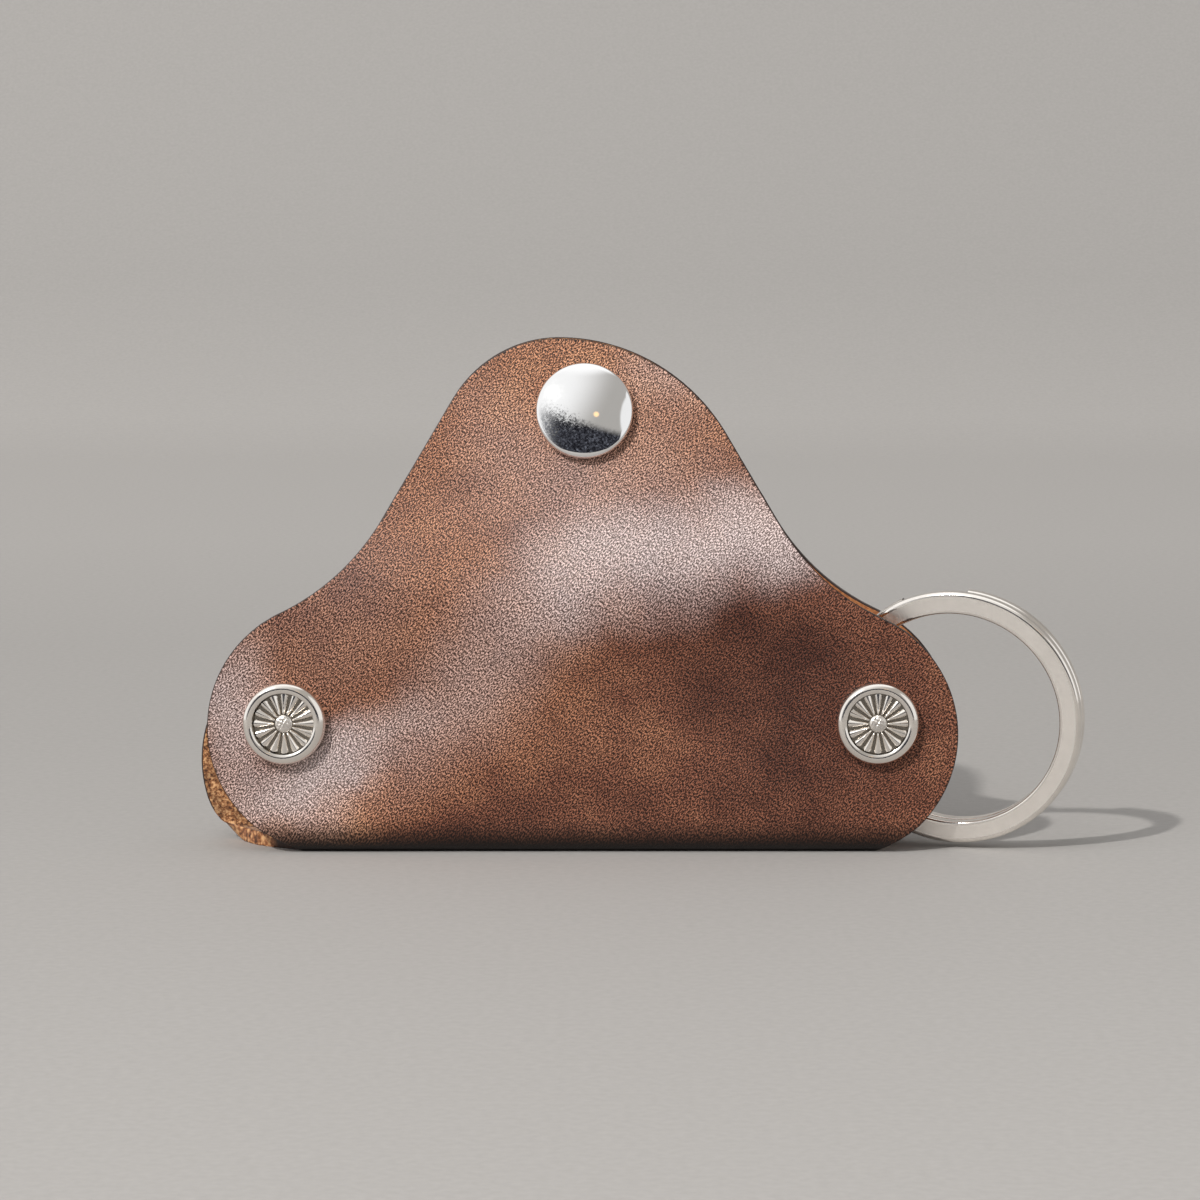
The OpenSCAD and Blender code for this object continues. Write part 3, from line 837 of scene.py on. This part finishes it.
def leather_edge():
    material, tree, shader = blank_material("burnished_edge")
    place = put(tree, "ShaderNodeTexCoord").outputs["Object"]
    streak = noise(tree, place, 1500, 3)["Fac"]
    dark = ramp(tree, streak, [(0.3, colour(26, 15, 10)), (0.7, colour(56, 33, 24))])
    raw = ramp(tree, streak, [(0.36, colour(70, 40, 24)), (0.5, colour(160, 104, 66)),
                              (0.64, colour(222, 172, 122))])
    # The left end of the fold is left raw, where no burnishing wheel reaches.
    spots = put(tree, "ShaderNodeSeparateXYZ", {"Vector": place}).outputs
    unworked = calc(tree, "MULTIPLY", slide(tree, spots["X"], -39.2 * MM, -40.4 * MM),
                    slide(tree, spots["Z"], 5 * MM, 2.5 * MM))
    unworked = calc(tree, "MULTIPLY", unworked, slide(tree, spots["Y"], -4.2 * MM, -3.2 * MM))
    rough = ramp(tree, streak, [(0.3, grey(0.42)), (0.7, grey(0.6))])
    feed(tree, shader, {"Base Color": mixed(tree, unworked, dark, raw), "Roughness": rough,
                        "Normal": lifted(tree, streak, 0.05, 0.5)})
    return material


leather_finishes = [grain_finish, leather_suede(), leather_edge()]
print("leather finishes:", [material.name for material in leather_finishes])

# %% Front and back panels
leather_front = panel("leather_front", front_walk, front_pattern, swell)
thicken(leather_front, leather_finishes)
leather_back = panel("leather_back", back_walk, back_pattern, None)
thicken(leather_back, leather_finishes)
for sheet_piece in (leather_front, leather_back):
    report(sheet_piece)
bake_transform(leather_front)
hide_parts("front_flap")
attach(leather_back, "case")
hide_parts("leather_body")

# %% [markdown]
# ## Metal finishes
#
# The hardware is nickel and chrome plated. What makes plated metal look real is what it reflects,
# and how its roughness changes: the heads and the cap are polished, the flat of the ring's wire is
# satin, and the floor of each head's dish is darker.

# %% Plated metal
def plated(name, tint, rough_low, rough_high, dent=0.02, scale=1800, worn=0.82):
    """A metal whose worn spots are darker by the share given."""
    material, tree, shader = blank_material(name)
    place = put(tree, "ShaderNodeTexCoord").outputs["Object"]
    spots = noise(tree, place, scale, 4, 0.6)["Fac"]
    wear = noise(tree, place, scale / 9, 3)["Fac"]
    darker = tuple(worn * value for value in tint[:3]) + (1,)
    rough = ramp(tree, spots, [(0.3, grey(rough_low)), (0.7, grey(rough_high))])
    feed(tree, shader, {"Base Color": ramp(tree, wear, [(0.3, darker), (0.65, tint)]),
                        "Roughness": rough, "Metallic": 1.0,
                        "Normal": lifted(tree, spots, dent, 0.6)})
    return material


NICKEL = (0.92, 0.87, 0.81, 1)
CHROME = (0.94, 0.94, 0.94, 1)
STEEL = (0.60, 0.59, 0.57, 1)
SPRING = (0.45, 0.45, 0.45, 1)
WIRE = (1.0, 0.95, 0.89, 1)
# The dish floor's colour, darker than the rest of the head.
DARK_DISH = (0.30, 0.27, 0.23, 1)
post_finish = plated("nickel_head", NICKEL, 0.07, 0.16, 0.002, worn=0.92)
petal_finish = plated("nickel_petal", NICKEL, 0.10, 0.20, 0.003, worn=0.95)
dish_finish = plated("dark_dish", DARK_DISH, 0.2, 0.3, 0.003)
boss_finish = plated("nickel_boss", NICKEL, 0.2, 0.4, 0.12, 2600)
cap_finish = plated("chrome_cap", CHROME, 0.03, 0.07, 0.0008, worn=0.97)
stud_finish = plated("stamped_steel", STEEL, 0.25, 0.4)
spring_finish = plated("spring_steel", SPRING, 0.3, 0.5)
wire_face_finish = plated("satin_wire_face", WIRE, 0.36, 0.5, 0.012, 2400, 0.95)
wire_edge_finish = plated("polished_wire_edge", WIRE, 0.08, 0.16, 0.003)
print("materials so far:", len(bpy.data.materials))

# %% [markdown]
# ## Screw posts
#
# A post is a barrel with an ornamental head: a round raised rim, a dish, sixteen petals and a rough
# boss in the middle. Rim, dish and barrel are one turned section. The petal is a small cube that is
# subdivided and shaped into a crowned wedge, and it is copied round the dish. Neither head sits
# quite square on the bowed leather, so dish and rim are slid a little to the left over the foot.

# %% Turn the head and barrel
HEAD_R = 5.25
HEAD_H = 1.9
RIM_W = 1.3
RIM_BEAD_R = 0.82
DISH_FLOOR = 0.95
POST_R = 2.25
HALF_GRIP = 6.35
BARREL_SHORT = 0.4
BORE_R = 1.6
BORE_DEPTH = 8.9
PETALS = 16
PETAL_FROM = 1.2
PETAL_GAP = 0.12
PETAL_HALF = math.radians(8.4)
BOSS_R = 1.1
BOSS_RISE = 0.3
SUNK = 0.05
LEFT_LEAN = -0.26
RIGHT_LEAN = -0.1
dish_r = HEAD_R - RIM_W


def head_section():
    # The rim is a round bead, so that it mirrors the light in one broad band.
    rim = rounded((HEAD_R - RIM_BEAD_R, HEAD_H - RIM_BEAD_R), RIM_BEAD_R, -30, 126, 18)
    inner = [(dish_r, DISH_FLOOR + 0.36), (dish_r - 0.1, DISH_FLOOR), (0, DISH_FLOOR)]
    skirt = [(HEAD_R - 0.16, 0.5), (HEAD_R - 0.06, 0.0)]
    barrel = [(POST_R, 0.0), (POST_R, BARREL_SHORT - 2 * HALF_GRIP + 0.2),
              (POST_R - 0.2, BARREL_SHORT - 2 * HALF_GRIP), (BORE_R, BARREL_SHORT - 2 * HALF_GRIP),
              (BORE_R, BORE_DEPTH - 2 * HALF_GRIP), (0, BORE_DEPTH - 2 * HALF_GRIP)]
    return barrel[::-1] + skirt[::-1] + rim + inner


def petal():
    """One petal on the dish's floor, pointing along +X."""
    length = dish_r - PETAL_GAP - PETAL_FROM
    deselect_all()
    bpy.ops.mesh.primitive_cube_add(size=1)
    piece = name_piece("petal")
    bpy.ops.object.mode_set(mode="EDIT")
    bpy.ops.mesh.select_all(action="SELECT")
    bpy.ops.mesh.subdivide(number_cuts=9)
    mesh = bmesh.from_edit_mesh(piece.data)
    for vertex in mesh.verts:
        out, across, up = vertex.co.x + 0.5, 2 * vertex.co.y, vertex.co.z + 0.5
        radius = PETAL_FROM + length * out
        # The outer end is rounded, and the top is crowned from side to side.
        radius -= 0.2 * across**2 * max(0.0, out - 0.6) / 0.4
        angle = PETAL_HALF * across
        crown = 0.1 + 0.32 * (1 - abs(across) ** 2.2)
        crown *= 0.7 + 0.3 * math.sin(math.pi * min(1.0, 0.3 + 0.6 * out))
        # Each petal ends in a small bead beside the boss.
        crown += 0.17 * (1 - across**2) * math.exp(-((out - 0.1) / 0.09) ** 2)
        vertex.co = Vector((radius * math.cos(angle), radius * math.sin(angle),
                            DISH_FLOOR - SUNK + up * (crown + SUNK))) * MM
    bmesh.update_edit_mesh(piece.data)
    bpy.ops.object.mode_set(mode="OBJECT")
    return piece


def boss():
    """A low dome in the middle of the dish, with a rough top."""
    foot = DISH_FLOOR - SUNK
    section = [(0, foot), (BOSS_R, foot), (BOSS_R, DISH_FLOOR + 0.35)]
    section += [(BOSS_R * math.cos(t), DISH_FLOOR + BOSS_RISE + BOSS_RISE * math.sin(t))
                for t in np.linspace(0.15, math.pi / 2, 9)]
    section[-1] = (0, section[-1][1])
    piece = turned("boss", section, 32)
    for vertex in piece.data.vertices:
        if vertex.co.z > (DISH_FLOOR + 0.4) * MM:
            x, y = vertex.co.x / MM, vertex.co.y / MM
            vertex.co.z += 0.09 * MM * math.sin(9 * x + 3 * y) * math.cos(10 * y - 4 * x)
    return piece


def screw_post(name, x, lean):
    """A post at x. The top of its head leans sideways by the share lean of its height."""
    body = turned(name, head_section())
    body.data.materials.append(post_finish)
    body.data.materials.append(dish_finish)
    for face in body.data.polygons:
        radius, height = math.hypot(*face.center[:2]) / MM, face.center.z / MM
        in_dish = radius < dish_r and abs(height - DISH_FLOOR) < 0.4
        face.material_index = 1 if in_dish else 0
    extras = []
    first = petal()
    first.data.materials.append(petal_finish)
    smooth(first, 40)
    extras.append(first)
    for index in range(1, PETALS):
        copy = first.copy()
        copy.data = first.data.copy()
        bpy.context.collection.objects.link(copy)
        settle(copy, Matrix.Rotation(2 * math.pi * index / PETALS, 4, "Z"))
        extras.append(copy)
    middle = boss()
    middle.data.materials.append(boss_finish)
    smooth(middle, 60)
    extras.append(middle)
    smooth(body, 40)
    make_active(body)
    for extra in extras:
        extra.select_set(True)
    bpy.ops.object.join()
    for vertex in body.data.vertices:
        vertex.co.x += lean * max(0.0, vertex.co.z)
    # The post's axis runs to the front, and the section's zero height is the leather's front face.
    towards_front = Matrix.Rotation(math.pi / 2, 4, "X")
    settle(body, Matrix.Translation((x * MM, -HALF_GRIP * MM, POST_Z * MM)) @ towards_front)
    report(body)
    return body


for side_name, x, lean in (("left", -POST_X, LEFT_LEAN), ("right", POST_X, RIGHT_LEAN)):
    post = screw_post(f"{side_name}_screw_post", x, lean)
    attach(post, "case")
    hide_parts(f"{side_name}_post")

# %% [markdown]
# ## Screws at the back
#
# The screws that close the posts have a flat slotted head with a rounded edge. The slot could be
# cut with a boolean, but it is cleaner to bisect the turned head along the slot's two sides and
# push the faces between the cuts down.

# %% Turn a screw and press its slot
SCREW_R = 1.55
SCREW_LEN = 7.0
SCREW_HEAD_R = 4.6
SCREW_HEAD_H = 1.4
SCREW_EDGE_R = 0.45
SLOT_W = 1.0
SLOT_DEPTH = 0.8


def back_screw(name, x):
    section = [(0, -SCREW_LEN), (SCREW_R - 0.2, -SCREW_LEN), (SCREW_R, -SCREW_LEN + 0.2),
               (SCREW_R, 0.0), (SCREW_HEAD_R - 0.05, 0.0), (SCREW_HEAD_R, 0.05)]
    edge_at = (SCREW_HEAD_R - SCREW_EDGE_R, SCREW_HEAD_H - SCREW_EDGE_R)
    section += rounded(edge_at, SCREW_EDGE_R, 0, 90, 6)
    section += [(2.5, SCREW_HEAD_H), (0, SCREW_HEAD_H)]
    piece = turned(name, section)
    bpy.ops.object.mode_set(mode="EDIT")
    for edge_y in (-SLOT_W / 2, SLOT_W / 2):
        bpy.ops.mesh.select_all(action="SELECT")
        bpy.ops.mesh.bisect(plane_co=(0, edge_y * MM, 0), plane_no=(0, 1, 0))
    top = (SCREW_HEAD_H - 0.6) * MM
    count = select_parts("FACE", lambda face: face.calc_center_median().z > top
                         and abs(face.calc_center_median().y) < SLOT_W / 2 * MM
                         and face.normal.z > 0.05)
    bpy.ops.mesh.extrude_region_move(TRANSFORM_OT_translate={"value": (0, 0, 0)})
    mesh = bmesh.from_edit_mesh(piece.data)
    for vertex in mesh.verts:
        if vertex.select:
            vertex.co.z = (SCREW_HEAD_H - SLOT_DEPTH) * MM
    bmesh.update_edit_mesh(piece.data)
    finish_mesh()
    print(name, "slot faces:", count)
    piece.data.materials.append(post_finish)
    smooth(piece, 35)
    towards_back = Matrix.Rotation(-math.pi / 2, 4, "X")
    settle(piece, Matrix.Translation((x * MM, HALF_GRIP * MM, POST_Z * MM)) @ towards_back)
    report(piece)
    return piece


for side_name, x in (("left", -POST_X), ("right", POST_X)):
    screw = back_screw(f"{side_name}_back_screw", x)
    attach(screw, "case")
    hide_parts(f"{side_name}_screw")

# %% [markdown]
# ## Press stud
#
# The cap is a smooth chrome dome with a rolled edge. Behind it the socket holds a small spring, and
# the stud sits on the back lobe with its eyelet. All are turned sections on one axis, which leans
# back with the lobes by 15 degrees. No view shows the spring, so the measured one stays.

# %% Turn the press stud's pieces
SNAP_Y = 1.77
SNAP_Z = 55.8
FRONT_FACE = LEATHER / 2
FRONT_INSIDE = -LEATHER / 2
SNAP_GAP = 3.0
CAP_H = 2.65
CAP_TUBE_R = 1.5
CAP_EDGE_AT = 5.6
CAP_EDGE_H = 1.05
CAP_EDGE_R = 0.65
ROLLED_H = 0.4
KNOB_H = 2.25
snap_place = Matrix.Translation((SNAP_X * MM, SNAP_Y * MM, SNAP_Z * MM)) \
    @ Matrix.Rotation(math.pi / 2 - math.radians(LOBE_LEAN), 4, "X")


def cap_section():
    """A dome that joins its rolled edge smoothly, on a tube through the leather."""
    edge = rounded((CAP_EDGE_AT, FRONT_FACE + CAP_EDGE_H), CAP_EDGE_R, -70, 69, 16)
    low_r, low_h = edge[-1]
    top = FRONT_FACE + CAP_H
    radius = (low_r**2 + (top - low_h) ** 2) / (2 * (top - low_h))
    reach = math.asin(low_r / radius)
    dome = [(radius * math.sin(t), top - radius + radius * math.cos(t))
            for t in np.linspace(reach, 0, 20)[1:]]
    dome[-1] = (0, top)
    tube = [(0, FRONT_INSIDE - ROLLED_H), (CAP_TUBE_R, FRONT_INSIDE - ROLLED_H),
            (CAP_TUBE_R, FRONT_FACE), (CAP_EDGE_AT, FRONT_FACE)]
    return tube + edge + dome


def socket_section():
    mouth = FRONT_INSIDE - 2.1
    floor_h = FRONT_INSIDE - ROLLED_H
    return [(1.55, FRONT_INSIDE), (1.55, floor_h), (2.9, floor_h), (2.9, mouth + 0.9),
            (2.25, mouth + 0.8), (2.25, mouth + 0.1), (2.35, mouth), (3.3, mouth),
            (3.7, mouth + 0.25), (3.8, mouth + 1.2), (4.7, mouth + 1.3), (5.1, mouth + 1.5),
            (5.2, mouth + 1.8), (5.1, FRONT_INSIDE), (1.55, FRONT_INSIDE)]


def stud_section():
    low = FRONT_INSIDE - SNAP_GAP
    return [(1.25, low), (4.8, low), (4.9, low + 0.12), (4.85, low + 0.4), (4.6, low + 0.5),
            (1.9, low + 0.5), (1.7, low + 0.65), (1.7, low + 1.1), (1.95, low + 1.4),
            (1.95, low + 1.75), (1.8, low + 2.1), (1.55, low + KNOB_H), (1.25, low + KNOB_H),
            (1.25, low)]


def eyelet_section():
    face = FRONT_INSIDE - SNAP_GAP - LEATHER
    end = FRONT_INSIDE - SNAP_GAP + KNOB_H
    return [(0.6, end), (1.2, end), (1.2, face), (4.4, face), (4.5, face - 0.1)] \
        + rounded((4.05, face - 0.35), 0.45, 0, -90, 5) \
        + [(2.2, face - 0.8), (1.4, face - 0.72), (0.9, face - 0.45), (0.6, face), (0.6, end)]


snap_pieces = (
    ("stud_cap", cap_section(), cap_finish, "cap_chrome", "flap", "snap_cap"),
    ("stud_socket", socket_section(), stud_finish, "stud_steel", "flap", "snap_socket"),
    ("stud_knob", stud_section(), stud_finish, "stud_steel", "case", "snap_stud"),
    ("stud_eyelet", eyelet_section(), post_finish, "post_nickel", "case", "snap_eyelet"),
)
for name, section, finish, slot, body, node in snap_pieces:
    piece = turned(name, section)
    piece.data.materials.append(finish)
    smooth(piece, 35)
    settle(piece, snap_place)
    report(piece)
    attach(piece, body)
    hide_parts(node)

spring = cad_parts["snap_spring"]
spring.data.materials.clear()
spring.data.materials.append(spring_finish)

# %% [markdown]
# ## Split ring
#
# The ring is flat wire in two turns. It could be a curve with a bevel, but the wire's section must
# keep its flat side to the front all the way, so a section is turned by hand instead: the Spin tool
# makes the front turn, short steps of extrude, turn and move make the crossing, and Spin makes the
# back turn.

# %% Wind the wire
RING_R = 16.5
WIRE_W = 2.8
WIRE_T = 1.6
TURN_GAP = 0.12
CROSSING = 26.0
END_GAP = 5.0
SPIN_STEP = 3.0
INNER_EDGE_R = 0.28
OUTER_EDGE_R = 0.5
POLISHED = 0.14


def wire_section():
    """Corners (radius, height) of the wire's section, rounded more on the outside."""
    inside, outside = RING_R - WIRE_W, RING_R
    low, high = TURN_GAP / 2, TURN_GAP / 2 + WIRE_T
    near, far = INNER_EDGE_R, OUTER_EDGE_R
    return [(outside - far - POLISHED, high)] \
        + rounded((outside - far, high - far), far, 90, 0, 6) \
        + rounded((outside - far, low + far), far, 0, -90, 6) \
        + [(outside - far - POLISHED, low), (inside + near + POLISHED, low)] \
        + rounded((inside + near, low + near), near, -90, -180, 4) \
        + rounded((inside + near, high - near), near, 180, 90, 4) \
        + [(inside + near + POLISHED, high)]


def split_ring():
    section = wire_section()
    deselect_all()
    bpy.ops.mesh.primitive_circle_add(vertices=len(section), radius=1, fill_type="NGON")
    piece = name_piece("split_ring")
    start = math.radians(360 - CROSSING - END_GAP)
    turn = Matrix.Rotation(start, 4, "Z")
    ordered = sorted(piece.data.vertices, key=lambda v: math.atan2(v.co.y, v.co.x))
    for vertex, (radius, height) in zip(ordered, section[::-1]):
        vertex.co = turn @ Vector((radius * MM, 0, height * MM))
    bpy.ops.object.mode_set(mode="EDIT")
    bpy.ops.mesh.select_all(action="SELECT")
    steps = round(math.degrees(start) / SPIN_STEP)
    bpy.ops.mesh.spin(steps=steps, angle=-start, center=(0, 0, 0), axis=(0, 0, 1))
    angle = 0.0
    low = 0.0
    while angle < CROSSING - 0.01:
        step = min(SPIN_STEP / 1.5, CROSSING - angle)
        angle += step
        share = (1 - math.cos(math.pi * angle / CROSSING)) / 2
        drop = share * (WIRE_T + TURN_GAP)
        bpy.ops.mesh.extrude_region_move(
            TRANSFORM_OT_translate={"value": (0, 0, (low - drop) * MM)})
        low = drop
        mesh = bmesh.from_edit_mesh(piece.data)
        turn = Matrix.Rotation(-math.radians(step), 3, "Z")
        for vertex in mesh.verts:
            if vertex.select:
                vertex.co = turn @ vertex.co
        bmesh.update_edit_mesh(piece.data)
    bpy.ops.mesh.spin(steps=steps, angle=-start, center=(0, 0, 0), axis=(0, 0, 1))
    finish_mesh(merge=0.001 * MM)
    return piece


key_ring = split_ring()
key_ring.data.materials.append(wire_face_finish)
key_ring.data.materials.append(wire_edge_finish)
satin_from = RING_R - WIRE_W + INNER_EDGE_R + POLISHED
satin_to = RING_R - OUTER_EDGE_R - POLISHED
for face in key_ring.data.polygons:
    radius = math.hypot(*face.center[:2]) / MM
    satin = abs(face.normal.z) > 0.8 and satin_from < radius < satin_to
    face.material_index = 0 if satin else 1
smooth(key_ring, 40)

# %% Hang the ring on the right post
RING_Y = 0.9
RING_YAW = math.radians(17)
RING_PITCH = math.radians(6)
CROSSING_AT = math.radians(203)
RING_SIDE = 10.71
RING_LIFT = 0.335
ring_place = Matrix.Translation((POST_X * MM, RING_Y * MM, POST_Z * MM)) \
    @ Matrix.Rotation(-RING_YAW, 4, "Z") @ Matrix.Rotation(RING_PITCH, 4, "X") \
    @ Matrix.Rotation(math.pi / 2, 4, "X") \
    @ Matrix.Translation((RING_SIDE * MM, RING_LIFT * MM, 0)) \
    @ Matrix.Rotation(CROSSING_AT, 4, "Z")
settle(key_ring, ring_place)
report(key_ring)
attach(key_ring, "ring")
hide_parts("key_ring")
